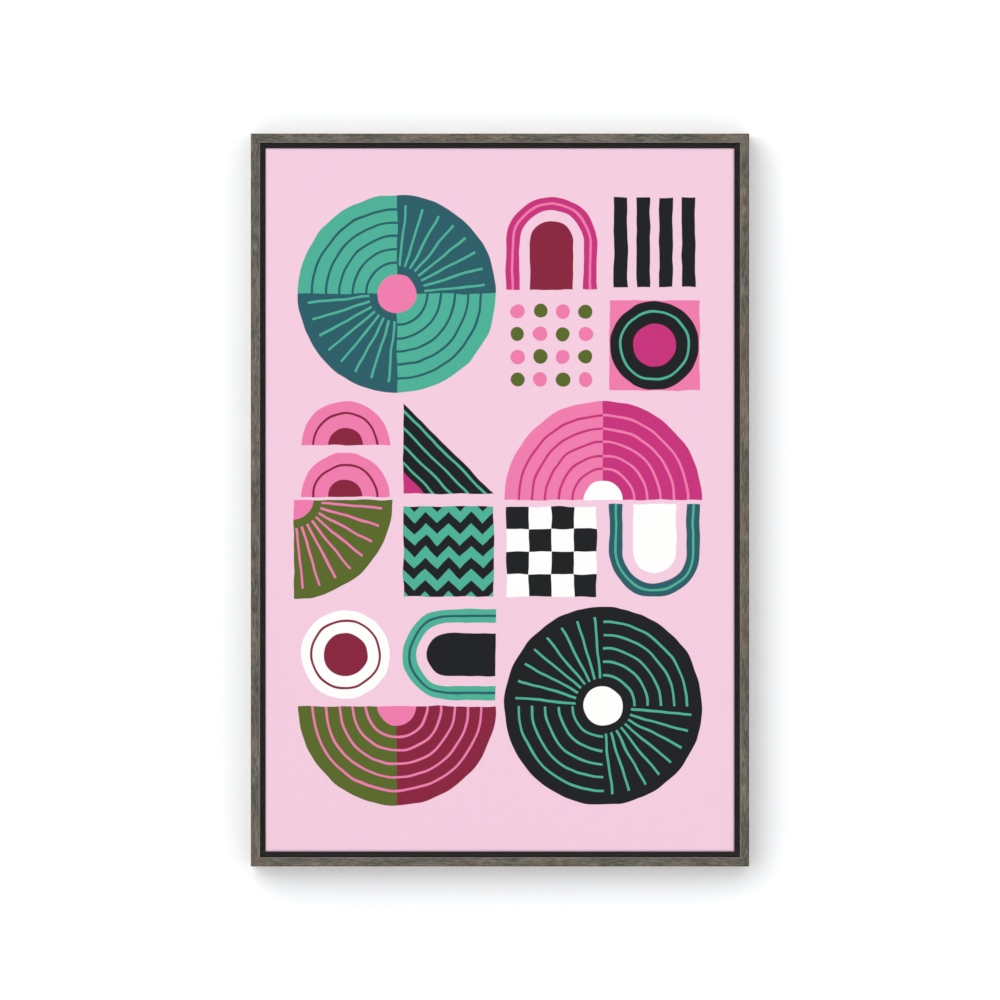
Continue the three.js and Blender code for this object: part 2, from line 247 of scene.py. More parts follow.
print("a surface that shows as pure white has a value of", round(seen_as(255, 255, 255)[0], 3))

# %% [markdown]
# ## Wood grain
#
# The frame, the bars and the brace are all cut from planks, with long fibres that bend round each other. A
# stretched noise alone looks like brushed metal. Here the place is first bent by two slower noises, so that
# the lines wander and swell, and then read as figure, fibres, growth rings, pores and large patches. The
# stained wood and the bare pine both use this group, each with its own spacing.

# %% The grain group
def make_grain():
    tree, (place, spacing, seed) = open_group("wood_grain", ["Place"], ["Spacing", "Seed"])
    along, across, deep = split(place)
    along = along + seed
    slow = cloudy(join(tree, along * 7.0, across * 28.0, deep * 28.0), detail=1.0) - 0.5
    quick = cloudy(join(tree, along * 34.0, across * 130.0, deep * 130.0), detail=1.0) - 0.5
    wide_bends = across / spacing + slow * 9.0
    bent = wide_bends + quick * 1.7
    inner = deep / spacing
    figure = cloudy(join(tree, along * 85.0, bent, inner), detail=3.0, roughness=0.65)
    fibres = cloudy(join(tree, along * 11.0, wide_bends * 3.6, inner * 3.6), detail=4.0, roughness=0.7)
    rings = ((wide_bends + quick * 0.5) * 0.16 + inner * 0.1).math("FRACT")
    pore_place = join(tree, along * 220.0, bent * 2.2, inner * 2.2)
    pores = ramp(cloudy(pore_place, detail=2.0, roughness=0.7), 0.36, 0.5, 1.0, 0.0)
    patches = cloudy(join(tree, along * 15.0, across * 34.0, deep * 34.0), detail=2.0)
    return close_group(tree, Figure=figure, Fibres=fibres, Rings=rings, Pores=pores, Patches=patches)


GRAIN = make_grain()

# %% [markdown]
# ## Edges that have been rubbed
#
# Paint and stain are thinner along an edge, and handling wears them more there. One could find edges by the
# surface's bend, but these edges run dead straight, so the distance from them is known. The group turns
# that distance into a mask that is full at the edge and breaks up away from it.

# %% The rubbed edge group
def make_rubbed_edge():
    tree, (place, distance, width) = open_group("rubbed_edge", ["Place"], ["Distance", "Width"])
    breakup = cloudy(place, scale=190.0, detail=3.0, roughness=0.55)
    reach = width * ramp(breakup, 0.3, 0.7, 0.4, 1.4)
    return close_group(tree, Mask=ramp(distance / reach, 0.5, 1.0, 1.0, 0.0))


RUBBED_EDGE = make_rubbed_edge()

# %% [markdown]
# ## The stained frame
#
# The moulding is stained a grey brown, between greenish and reddish patches, with short dark streaks. Its
# inside is black, so that the canvas seems to float. It could be several materials with the paint's border
# drawn in the mesh. The border is worked out from how far inwards a point lies instead, so each rail needs
# only one finish, with its grain turned to run along it.

# %% Places along and across a side
SIDES = {"top": False, "right": True, "bottom": False, "left": True}


def side_places(tree, upright):
    """The place, then along and across the side's wood, the depth, and how far inwards a point lies."""
    place = object_place(tree)
    x, depth, height = split(place)
    z = height - CENTRE_Z
    if upright:
        return place, z, x, depth, -(abs(x) - FRAME_HALF_WIDTH)
    return place, x, z, depth, -(abs(z) - FRAME_HALF_HEIGHT)


# %% The frame's finish
GREENISH_GREY = seen_as(85, 85, 73)
REDDISH_GREY = seen_as(109, 94, 79)
STREAK = seen_as(48, 40, 26)
PALE_FIBRE = seen_as(139, 130, 119)
# Painted shade for the face's outer front edge and a painted highlight for its inner edge, not colours of the
# wood
PAINTED_RIM_SHADE = seen_as(68, 66, 64)
PAINTED_RIM_HIGHLIGHT = seen_as(123, 119, 113)
BLACK_LACQUER = seen_as(70, 67, 64)
LACQUER_ROUGHNESS = 0.3
BARE_BACK = seen_as(182, 156, 120)
BARE_BACK_PALE = seen_as(204, 182, 148)
BARE_RING = seen_as(158, 128, 92)
STAINED_SPACING = 1.7 * MM
LACQUER_START = FACE_WIDTH - 0.25 * MM
BACK_STAIN_CREEP = 0.3 * MM
OUTER_WEAR, INNER_WEAR = 1.4 * MM, 1.0 * MM


def bare_back(tree, place, inwards, depth):
    """1 on the back's bare wood, where stain creeps round both of its edges."""
    worn = [
        use_group(tree, RUBBED_EDGE, Place=place, Distance=distance, Width=width)["Mask"]
        for distance, width in ((inwards, OUTER_WEAR), (-(inwards - LEDGE_REACH), INNER_WEAR))
    ]
    return (depth > FRAME_BACK - BACK_STAIN_CREEP) * (-(worn[0].math("MAXIMUM", worn[1])) + 1.0)


def stained_wood(name, upright, seed):
    material, tree, shader = new_finish(f"stained_frame_{name}")
    place, along, across, depth, inwards = side_places(tree, upright)
    grain = use_group(tree, GRAIN, Place=join(tree, along, across, depth), Spacing=STAINED_SPACING, Seed=seed)
    soaked = cloudy(join(tree, along * 26.0 + seed, across * 90.0, depth * 90.0), detail=2.0)
    tone = mix(ramp(grain["Patches"], 0.41, 0.59), GREENISH_GREY, REDDISH_GREY)
    tone = mix(ramp(soaked, 0.36, 0.5, 0.42, 0.0), tone, STREAK)
    tone = mix(ramp(soaked, 0.5, 0.64, 0.0, 0.42), tone, PALE_FIBRE)
    tone = mix(ramp(grain["Figure"], 0.35, 0.50, 0.7, 0.0), tone, STREAK)
    tone = mix(ramp(grain["Figure"], 0.50, 0.66, 0.0, 0.7), tone, PALE_FIBRE)
    tone = mix(ramp(grain["Fibres"], 0.34, 0.46, 0.45, 0.0), tone, STREAK)
    tone = mix(ramp(grain["Fibres"], 0.56, 0.7, 0.0, 0.4), tone, PALE_FIBRE)
    tone = mix(grain["Pores"] * 0.35, tone, STREAK)
    # Painted shade along the outer front edge, fading with depth, and a painted highlight along the face's
    # inner edge
    front_edge = ramp(depth, FRAME_FRONT + 1.2 * MM, FRAME_FRONT + 3.0 * MM, 0.5, 0.0)
    tone = mix(ramp(inwards, 0.4 * MM, 1.9 * MM, 1.0, 0.0) * front_edge, tone, PAINTED_RIM_SHADE)
    tone = mix(ramp(inwards, FACE_WIDTH - 2.0 * MM, FACE_WIDTH - 0.8 * MM, 0.0, 0.6), tone, PAINTED_RIM_HIGHLIGHT)
    lacquered = inwards > LACQUER_START
    tone = mix(lacquered, tone, BLACK_LACQUER)
    plank = mix(ramp(grain["Fibres"], 0.32, 0.62), BARE_BACK_PALE, BARE_BACK)
    plank = mix(ramp(grain["Rings"], 0.5, 1.0, 0.0, 0.35), plank, BARE_RING)
    bare = bare_back(tree, place, inwards, depth)
    tone = mix(bare, tone, plank)
    shine = lacquered * (-bare + 1.0)
    roughness = ramp(grain["Figure"], 0.3, 0.7, 0.74, 0.54)
    plug(tree, shader.inputs["Base Color"], tone)
    plug(tree, shader.inputs["Roughness"], roughness + shine * (-roughness + LACQUER_ROUGHNESS))
    relief = grain["Figure"] * 0.6 + grain["Fibres"] * 0.5 - grain["Pores"] * 0.5
    bump(tree, shader, relief + bare * (grain["Fibres"] - relief), 0.45, 0.2 * MM)
    return material


frame_finishes = {
    name: stained_wood(name, upright, 3.7 * i)
    for i, (name, upright) in enumerate(SIDES.items())
}
print("frame finishes:", ", ".join(frame_finishes))

# %% [markdown]
# ## Bare pine
#
# Nobody sees the stretcher bars from the front, so they are plain planed pine: pale, with darker lines
# where each year's late wood was cut through. A growth ring is soft on one side and sharp on the other,
# which is what a sawtooth gives, so the grain group's rings are used here as they come.

# %% The pine's finish
PINE = seen_as(228, 200, 156)
PINE_PALE = seen_as(238, 216, 178)
LATE_WOOD = seen_as(196, 150, 98)
PINE_SPACING = 1.2 * MM


def pine(name, upright, seed):
    material, tree, shader = new_finish(f"bare_pine_{name}")
    _, along, across, depth, _ = side_places(tree, upright)
    grain = use_group(tree, GRAIN, Place=join(tree, along, across, depth), Spacing=PINE_SPACING, Seed=seed)
    tone = mix(ramp(grain["Patches"], 0.3, 0.7), PINE, PINE_PALE)
    tone = mix(ramp(grain["Rings"], 0.5, 0.97, 0.0, 0.7), tone, LATE_WOOD)
    tone = mix(ramp(grain["Fibres"], 0.5, 0.7, 0.0, 0.45), tone, LATE_WOOD)
    plug(tree, shader.inputs["Base Color"], tone)
    plug(tree, shader.inputs["Roughness"], ramp(grain["Rings"], 0.4, 1.0, 0.78, 0.6))
    bump(tree, shader, grain["Fibres"] + grain["Rings"] * 0.4, 0.4, 0.12 * MM)
    return material


bar_finishes = {
    name: pine(name, upright, 21.0 + 5.3 * i)
    for i, (name, upright) in enumerate(SIDES.items())
}
brace_finish = pine("brace", False, 57.0)
print("pine finishes:", ", ".join(bar_finishes), "and the brace")

# %% [markdown]
# ## Plated metal
#
# The screws, V-nails and staples have a thin coat of zinc, and the hanger a thin coat of brass. New plating
# looks dull if it is one even grey. What makes it read as metal is how its polish varies, with cloudy
# smudges, fine scratches and the faint lines of the rolled strip below. Both metals share that, so it is a
# group.

# %% The plating group and both metals
def make_plating():
    tree, (place,) = open_group("plating_marks", ["Place"])
    smudge = cloudy(place, scale=260.0, detail=3.0)
    x, y, z = split(place)
    scratches = [
        ramp(cloudy(join(tree, *spots), detail=1.0), 0.62, 0.7)
        for spots in ((x * 9000.0, y * 900.0, z * 500.0), (x * 600.0, y * 900.0, z * 8000.0))
    ]
    rolled = cloudy(join(tree, x * 90.0, y * 2600.0, z * 2600.0), detail=3.0, roughness=0.6)
    return close_group(tree, Smudge=smudge, Scratch=scratches[0].math("MAXIMUM", scratches[1]), Rolled=rolled)


PLATING = make_plating()


def plated(name, bright, dull):
    material, tree, shader = new_finish(name, Metallic=1.0)
    marks = use_group(tree, PLATING, Place=object_place(tree))
    tone = mix(ramp(marks["Smudge"], 0.35, 0.65), bright, dull)
    plug(tree, shader.inputs["Base Color"], mix(ramp(marks["Rolled"], 0.35, 0.65, 0.0, 0.45), tone, dull))
    polish = ramp(marks["Smudge"], 0.3, 0.7, 0.22, 0.40) + ramp(marks["Rolled"], 0.35, 0.65, 0.0, 0.12)
    plug(tree, shader.inputs["Roughness"], polish + marks["Scratch"] * 0.12)
    bump(tree, shader, marks["Smudge"] + marks["Rolled"] * 0.2 - marks["Scratch"] * 0.3, 0.3, 0.05 * MM)
    return material


BRIGHT_ZINC, DULL_ZINC = (0.66, 0.67, 0.69, 1.0), (0.47, 0.49, 0.52, 1.0)
BRIGHT_BRASS, DULL_BRASS = (0.80, 0.62, 0.30, 1.0), (0.56, 0.41, 0.18, 1.0)
zinc = plated("zinc_plate", BRIGHT_ZINC, DULL_ZINC)
brass = plated("brass_plate", BRIGHT_BRASS, DULL_BRASS)

# %% [markdown]
# ## Smooth solids
#
# The solids come with every facet's corners apart, so a rounded edge shows its steps. Their meshes have to
# stay as they are, but a modifier may work on them. Joining the corners and shading every shallow edge
# smooth keeps flat faces flat and makes turned and eased edges round.

# %% A modifier for the solids
SHARP_ANGLE = math.radians(35)
BRACE_EASING = 0.8 * MM
ZINC_EASING = 0.1 * MM
BRASS_EASING = 0.12 * MM


def make_smoothing():
    tree = bpy.data.node_groups.new("smooth_shallow_edges", "GeometryNodeTree")
    for direction in ("INPUT", "OUTPUT"):
        tree.interface.new_socket("Geometry", in_out=direction, socket_type="NodeSocketGeometry")
    source = tree.nodes.new("NodeGroupInput")
    sink = tree.nodes.new("NodeGroupOutput")
    solid = Field(tree, source.outputs[0])
    solid = new_node(tree, "GeometryNodeMergeByDistance", {"Geometry": solid, "Distance": 0.01 * MM})
    solid = new_node(tree, "GeometryNodeRemoveAttribute", {"Geometry": solid, "Name": "custom_normal"})
    solid = new_node(tree, "GeometryNodeSetShadeSmooth", {"Geometry": solid, "Shade Smooth": True})
    bend = new_node(tree, "GeometryNodeInputMeshEdgeAngle", {})
    sharp = new_node(tree, "FunctionNodeCompare", {0: bend, 1: SHARP_ANGLE}, operation="GREATER_THAN")
    shading = {"Geometry": solid, "Selection": sharp, "Shade Smooth": False}
    solid = new_node(tree, "GeometryNodeSetShadeSmooth", shading, domain="EDGE")
    tree.links.new(solid.socket, sink.inputs[0])
    return tree


SMOOTHING = make_smoothing()


def dress(node_name, material, easing=0.0):
    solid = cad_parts[node_name]
    solid.data.materials.clear()
    solid.data.materials.append(material)
    smoothing = solid.modifiers.new("smooth_shallow_edges", "NODES")
    smoothing.node_group = SMOOTHING
    if easing:
        bevel = solid.modifiers.new("eased_edges", "BEVEL")
        bevel.width = easing
        bevel.segments = 2
        bevel.angle_limit = SHARP_ANGLE


for side in SIDES:
    dress(f"frame_rail_{side}", frame_finishes[side])
    dress(f"stretcher_bar_{side}", bar_finishes[side])
dress("centre_brace", brace_finish, BRACE_EASING)
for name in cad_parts:
    if name.startswith(("mount_screw", "frame_v_nail", "stretcher_v_nail")):
        dress(name, zinc, ZINC_EASING)
    if name.startswith(("sawtooth_hanger", "hanger_nail")):
        dress(name, brass, BRASS_EASING)
print(sum(len(solid.modifiers) > 0 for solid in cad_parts.values()), "solids dressed")

# %% [markdown]
# ## Plain weave
#
# Canvas is woven one over, one under. Close up, each thread is a row of small pillows that stand proud
# where it passes over and vanish where it passes under. A checker of dots looks like cloth from far away
# only. The group works out both sets of threads as sines and keeps the higher, and lets each thread swell
# along its length. The printed front and the raw back both use it.

# %% The weave group
def make_weave():
    tree, (place, pitch) = open_group("plain_weave", ["Place"], ["Pitch"])
    x, y, _ = split(place)
    warp_count, weft_count = x / pitch, y / pitch
    warp_number, weft_number = warp_count.math("FLOOR"), weft_count.math("FLOOR")
    crowns = []
    for across, along, number, sign in (
        (warp_count, weft_count, warp_number, 0.5), (weft_count, warp_count, weft_number, -0.5),
    ):
        round_thread = (across.math("FRACT") * math.pi).math("SINE")
        rise = ((along - 0.5 + number) * math.pi).math("COSINE") * sign + 0.5
        swelling = cloudy(join(tree, number * 7.31, along * 0.035, sign), detail=2.0)
        crowns.append(round_thread * rise * ramp(swelling, 0.3, 0.7, 0.78, 1.12))
    height = crowns[0].math("MAXIMUM", crowns[1])
    return close_group(tree, Height=height, Gap=ramp(height, 0.25, 0.6, 1.0, 0.0))


WEAVE = make_weave()
THREAD_PITCH = 0.55 * MM

# %% [markdown]
# ## The printed design
#
# The canvas carries a print of flat inks on a pale pink ground. The design is made up for this part: a
# block of square tiles, each with one simple shape, some of which join across tiles into circles and domes.
# It could be cut as hundreds of faces, or drawn as a picture. Here each shape is a formula that tells how
# far a place lies from its outline, so its edge stays sharp at any size and nothing has to be read from
# disk.

# %% Inks. The painted shade in the weave's gaps takes some of the light, and its haze adds a little
CLOTH_LIGHT = 0.88 * LIGHT_LEVEL
HAZE = 0.007


def ink_colour(red, green, blue):
    *shares, _ = seen_as(red, green, blue, light=CLOTH_LIGHT)
    return (*(max(share - HAZE, 0.0) for share in shares), 1.0)


SCREEN_INKS = {
    "pale pink": (245, 206, 224), "hot pink": (240, 126, 174), "magenta": (200, 55, 125),
    "maroon": (138, 42, 66), "light teal": (80, 178, 152), "deep teal": (48, 96, 106),
    "black": (36, 37, 38), "olive": (92, 107, 46), "white": (255, 254, 253),
}
INKS = {name: ink_colour(*screen) for name, screen in SCREEN_INKS.items()}
TILE = 134 * MM
print(len(INKS), "inks")

# %% Masks from distances, in tiles
INK_EDGE = 0.004
HALF_LINE = 0.0115
PANEL_HALF = 0.437
REPEAT = 0.22
FAN_RADIUS = 0.96
FAN_HUB = 0.19
FAN_LINES_FROM, FAN_LINES_TO = 0.27, 0.86


def within(distance):
    """1 where the distance is below 0, with an ink's slightly soft edge."""
    return ramp(distance, -INK_EDGE / 2, INK_EDGE / 2, 1.0, 0.0)


def stroke(distance):
    """A drawn line where the distance passes 0."""
    return within(abs(distance) - HALF_LINE)


def nearest(value, spacing):
    """How far the value is from the nearest multiple of the spacing."""
    return ((value / spacing + 0.5).math("FRACT") - 0.5) * spacing


def length(x, y):
    return (x * x + y * y).math("SQRT")


def largest(*fields):
    result = fields[0]
    for field in fields[1:]:
        result = result.math("MAXIMUM", field)
    return result


def inside_panel(x, y):
    """1 on the square panel that a filled tile has."""
    return within(largest(abs(x), abs(y)) - PANEL_HALF)


# %% One function for each shape: its body, its lines, and its accent
def fan(radius, lines):
    """A quarter disc about the tile's corner, with lines that stop short of its hub and its rim."""
    kept_lines = lines * (radius > FAN_LINES_FROM) * (radius < FAN_LINES_TO)
    return within(radius - FAN_RADIUS), kept_lines, within(radius - FAN_HUB)


def rings(x, y):
    radius = length(x + 0.5, y + 0.5)
    return fan(radius, stroke(nearest(radius - 0.30, 0.13)))


def rays(x, y):
    radius = length(x + 0.5, y + 0.5)
    angle = (y + 0.5).math("ARCTAN2", x + 0.5)
    sector = math.pi / 16
    return fan(radius, stroke(nearest(angle - sector / 2, sector) * radius))


def disc(x, y):
    radius = length(x, y)
    return within(radius - 0.43), stroke(radius - 0.33), within(radius - 0.21)


def bowls(x, y):
    level = (y * 2.0).math("FRACT") * 0.5 - 0.03
    radius = length(x, level)
    above = within(-level)
    return within(radius - 0.43) * above, stroke(radius - 0.31) * above, within(radius - 0.17) * above


def arch(x, y):
    radius = length(x, y.math("MAXIMUM", 0.0))
    standing = within(-y - 0.46)
    body = within(radius - 0.44) - within(radius - 0.31)
    line = stroke(radius - 0.375)
    return body * standing, line * standing, within(radius - 0.21) * standing


def stripes(x, y):
    return within(abs(nearest(x - REPEAT / 2, REPEAT)) - 0.066) * inside_panel(x, y), x * 0.0, x * 0.0


def odd_cells(x, y):
    """0 or 1, changing from each square cell to the next."""
    return ((x / REPEAT).math("FLOOR") + (y / REPEAT).math("FLOOR")).math("FLOORED_MODULO", 2.0)


def dots(x, y):
    radius = length(nearest(x - REPEAT / 2, REPEAT), nearest(y - REPEAT / 2, REPEAT))
    spots = within(radius - 0.068) * inside_panel(x, y)
    return spots, spots * 0.0, spots * odd_cells(x, y)


def wedge(x, y):
    slope = (x + y) * math.sqrt(0.5)
    body = within(largest(slope, -x - PANEL_HALF, -y - PANEL_HALF))
    lines = stroke(nearest(slope + 0.05, 0.12)) * (slope < -0.03) * (slope > -0.42)
    return body, lines * body, body * (slope < -0.47)


def zigzag(x, y):
    level = y + abs(nearest(x, REPEAT))
    return within(abs(nearest(level, REPEAT)) - 0.055) * inside_panel(x, y), x * 0.0, x * 0.0


def checks(x, y):
    odd = odd_cells(x, y)
    return odd * inside_panel(x, y), odd * 0.0, (-odd + 1.0) * inside_panel(x, y)


# %% A group for each shape
SHAPES = [rings, rays, disc, bowls, arch, stripes, dots, wedge, zigzag, checks]


def make_shape(drawing):
    tree, (place,) = open_group(f"shape_{drawing.__name__}", ["Place"])
    x, y, _ = split(place)
    body, lines, accent = drawing(x, y)
    return close_group(tree, Body=body, Lines=lines, Accent=accent)


shape_groups = {drawing.__name__: make_shape(drawing) for drawing in SHAPES}

# %% The design, from its top row down: shape, quarter turns, ground, body, lines, accent
PINK, HOT, MAGENTA, MAROON = "pale pink", "hot pink", "magenta", "maroon"
TEAL, DEEP, BLACK, OLIVE, WHITE = "light teal", "deep teal", "black", "olive", "white"
DESIGN = [
    [
        ("rings", 1, PINK, TEAL, DEEP, HOT), ("rays", 0, PINK, DEEP, TEAL, HOT),
        ("arch", 0, PINK, MAGENTA, HOT, MAROON), ("stripes", 0, PINK, BLACK, BLACK, BLACK),
    ],
    [
        ("rays", 2, PINK, DEEP, TEAL, HOT), ("rings", 3, PINK, TEAL, DEEP, HOT),
        ("dots", 0, PINK, OLIVE, OLIVE, HOT), ("disc", 0, HOT, BLACK, TEAL, MAGENTA),
    ],
    [
        ("bowls", 0, PINK, HOT, MAROON, MAROON), ("wedge", 0, PINK, BLACK, TEAL, MAGENTA),
        ("rings", 1, PINK, HOT, MAGENTA, WHITE), ("rings", 0, PINK, MAGENTA, HOT, WHITE),
    ],
    [
        ("rays", 3, PINK, OLIVE, HOT, HOT), ("zigzag", 0, BLACK, TEAL, TEAL, TEAL),
        ("checks", 0, PINK, BLACK, BLACK, WHITE), ("arch", 2, PINK, DEEP, TEAL, WHITE),
    ],
    [
        ("disc", 0, PINK, WHITE, MAROON, MAROON), ("arch", 1, PINK, TEAL, DEEP, BLACK),
        ("rays", 1, PINK, BLACK, TEAL, WHITE), ("rings", 0, PINK, BLACK, TEAL, WHITE),
    ],
    [
        ("rings", 2, PINK, OLIVE, HOT, HOT), ("rings", 3, PINK, MAROON, HOT, HOT),
        ("rings", 2, PINK, BLACK, TEAL, WHITE), ("rays", 3, PINK, BLACK, TEAL, WHITE),
    ],
]
ROWS, COLUMNS = len(DESIGN), len(DESIGN[0])
tiles = [tile for row in DESIGN for tile in row]
print(f"{ROWS} rows of {COLUMNS} tiles, {1000 * TILE:.0f} mm each")


# %% The whole design as one group, its edges as uneven as if they were cut by hand
HAND_WOBBLE = 5 * MM


def make_design():
    tree, (place,) = open_group("printed_design", ["Place"])
    x, y, _ = split(place)
    x = x + (cloudy(place, 26.0, 1.0) - 0.5) * HAND_WOBBLE
    y = y + (cloudy(place, 31.0, 1.0) - 0.5) * HAND_WOBBLE
    column_place, row_place = x / TILE + COLUMNS / 2, y / TILE + ROWS / 2
    column = column_place.math("FLOOR")
    row = -(row_place.math("FLOOR")) + (ROWS - 1)
    number = (row * COLUMNS + column + 0.5) / len(tiles)
    on_tiles = (column > -0.5) * (column < COLUMNS - 0.5) * (row > -0.5) * (row < ROWS - 0.5)

    def choose(values):
        """The value of the tile that a place lies on."""
        node = tree.nodes.new("ShaderNodeValToRGB")
        node.color_ramp.interpolation = "CONSTANT"
        plug(tree, node.inputs["Fac"], number)
        stops = node.color_ramp.elements
        stops[1].position = 1 / len(tiles)
        for i in range(2, len(tiles)):
            stops.new(i / len(tiles))
        for stop, value in zip(stops, values):
            stop.color = value
        return Field(tree, node.outputs["Color"])

    def choose_number(values, highest):
        shares = choose([(value / highest,) * 3 + (1.0,) for value in values])
        return split(shares)[0] * highest

    tile_place = join(tree, column_place.math("FRACT") - 0.5, row_place.math("FRACT") - 0.5)
    turns = choose_number([tile[1] for tile in tiles], 4)
    turned = new_node(tree, "ShaderNodeVectorRotate", {"Vector": tile_place, "Angle": turns * (-math.pi / 2)})
    names = list(shape_groups)
    kind = choose_number([names.index(tile[0]) for tile in tiles], len(names))
    masks = {}
    for i, group in enumerate(shape_groups.values()):
        chosen = kind.math("COMPARE", float(i), 0.4) * on_tiles
        for label, mask in use_group(tree, group, Place=turned).items():
            masks[label] = masks[label] + mask * chosen if label in masks else mask * chosen
    panel = inside_panel(*split(tile_place)[:2]) * on_tiles
    colour = mix(panel, INKS[PINK], choose([INKS[tile[2]] for tile in tiles]))
    for label, entry in (("Body", 3), ("Lines", 4), ("Accent", 5)):
        colour = mix(masks[label], colour, choose([INKS[tile[entry]] for tile in tiles]))
    return close_group(tree, Colour=colour)


DESIGN_GROUP = make_design()

# %% [markdown]
# ## The printed front and the raw back of the cloth
#
# The front is primed white and printed with matte ink, which follows the weave. The gaps between its threads
# get painted shade: the ink is mixed a touch towards black there. The back is raw cotton with dark specks of
# seed, with painted shade in its weave's gaps too. The ground colour runs round the sides and partly onto the
# back, and stops in a straight line where the printer stopped. Both read their place from a flat plan of the
# cloth, kept as a UV map, so that the weave turns every corner as cloth does.

# %% Both sides of the cloth
CLOTH_PLAN = "ClothPlan"
PRINT_ON_BACK = 18 * MM
PRIMER = seen_as(248, 246, 240)
RAW_COTTON = seen_as(234, 225, 206)
RAW_COTTON_DARK = seen_as(214, 202, 178)
SEED_SPECK = seen_as(120, 98, 70)


def cloth_plan(tree):
    return new_node(tree, "ShaderNodeUVMap", {}, uv_map=CLOTH_PLAN)


def printed_cloth():
    material, tree, shader = new_finish("printed_canvas", Specular_IOR_Level=0.15)
    place = cloth_plan(tree)
    x, y, _ = split(place)
    weave = use_group(tree, WEAVE, Place=place, Pitch=THREAD_PITCH)
    past = largest(abs(x) - CANVAS_HALF_WIDTH, abs(y) - CANVAS_HALF_HEIGHT)
    design = use_group(tree, DESIGN_GROUP, Place=place)["Colour"]
    ink = mix(past > CANVAS_DEPTH + PRINT_ON_BACK, design, PRIMER)
    # Painted shade: the ink is mixed a touch towards black in the gaps between the threads
    ink = mix(weave["Gap"] * 0.14, ink, INKS[BLACK])
    plug(tree, shader.inputs["Base Color"], ink)
    plug(tree, shader.inputs["Roughness"], ramp(weave["Height"], 0.3, 1.0, 0.9, 0.68))
    bump(tree, shader, weave["Height"], 0.6, 0.14 * MM)
    return material


def raw_cloth():
    constants = {"Roughness": 0.95, "Specular_IOR_Level": 0.2, "Sheen_Weight": 0.15}
    material, tree, shader = new_finish("raw_cotton", **constants)
    place = cloth_plan(tree)
    weave = use_group(tree, WEAVE, Place=place, Pitch=THREAD_PITCH)
    x, y, _ = split(place)
    slubs = [cloudy(join(tree, x * a, y * b), detail=3.0) for a, b in ((25.0, 1400.0), (1400.0, 25.0))]
    tone = mix(ramp(slubs[0] + slubs[1], 0.7, 1.3, 0.0, 0.8), RAW_COTTON, RAW_COTTON_DARK)
    # Painted shade: the cotton is darker in the gaps between the threads
    tone = mix(weave["Gap"] * 0.35, tone, RAW_COTTON_DARK)
    specks = ramp(cloudy(place, 900.0, 1.0), 0.76, 0.8)
    tone = mix(specks * 0.7, tone, SEED_SPECK)
    plug(tree, shader.inputs["Base Color"], tone)
    bump(tree, shader, weave["Height"], 0.6, 0.15 * MM)
    return material


printed_canvas = printed_cloth()
raw_cotton = raw_cloth()

# %% [markdown]
# ## The stretched cloth
#
# One piece of canvas lies flat over the front, turns tight corners onto the sides and again onto the back,
# and is stapled there. A cloth simulation would only find the same flat surface, slowly. The cloth is built
# as the skin of a box with rounded edges: a grid that is fine near each edge, whose points are then pushed
# from the sharp box onto the rounded one. On the back only a fold's width is kept.

# %% Where the grid's lines run
FINE_LINES = [0, 0.5, 1.1, 1.8, 2.6, 3.5, 5, 8, 11.5, 15, 18, 21, 24.5, 28]
CELL = 12 * MM
CLOTH_THICK = 0.5 * MM
EDGE_RADIUS = 3.5 * MM
BACK_EDGE_RADIUS = 1.2 * MM
CORNER_POWER = 5


def grid_lines(low, high):
    """Places from low to high, close together near both ends."""
    near = [distance * MM for distance in FINE_LINES]
    span = high - low - 2 * near[-1]
    steps = round(span / CELL)
    middle = [low + near[-1] + span * step / steps for step in range(1, steps)]
    return [low + d for d in near] + middle + [high - d for d in reversed(near)]


WIDE = grid_lines(-CANVAS_HALF_WIDTH, CANVAS_HALF_WIDTH)
TALL = grid_lines(CANVAS_LOW.z, CANVAS_HIGH.z)
DEPTHS = [0, 0.5, 1.1, 1.8, 2.6, 3.5, 8, 14, 20, 26, 31, 33.8, 34.2, 34.6, 35]
DEEP_LINES = [CANVAS_LOW.y + depth * MM for depth in DEPTHS]
FOLD_LINE = FINE_LINES.index(28)
print(f"cloth grid {len(WIDE)} x {len(TALL)} lines, {len(DEEP_LINES)} through its depth")


# %% From the sharp box to the rounded one
def rounded(point):
    """Moves a point of the sharp box onto one with round edges, but corners that stay almost square."""
    back = point.y > (CANVAS_LOW.y + CANVAS_HIGH.y) / 2
    radius = (EDGE_RADIUS, BACK_EDGE_RADIUS if back else EDGE_RADIUS, EDGE_RADIUS)
    core = [
        min(max(value, low + r), high - r)
        for value, low, high, r in zip(point, CANVAS_LOW, CANVAS_HIGH, radius)
    ]
    x, y, z = ((value - c) / r for value, c, r in zip(point, core, radius))
    plan = (abs(x) ** CORNER_POWER + abs(z) ** CORNER_POWER) ** (1 / CORNER_POWER)
    size = math.hypot(plan, y)
    return Vector(c + o * r / size for c, o, r in zip(core, (x, y, z), radius))


SAME_PLACE = 0.1 * MM
LEDGE_EDGE = 16.5 * MM
TAUT_RIM = 60 * MM
FRONT_WAVE = 0.16 * MM
FOLD_LIFT = 1.1 * MM
EDGE_WANDER = 0.9 * MM


def edge_gaps(point):
    """How far a point lies in from the canvas's nearer side edge, and from its nearer top or bottom edge."""
    return CANVAS_HALF_WIDTH - abs(point.x), CANVAS_HALF_HEIGHT - abs(point.z - CENTRE_Z)


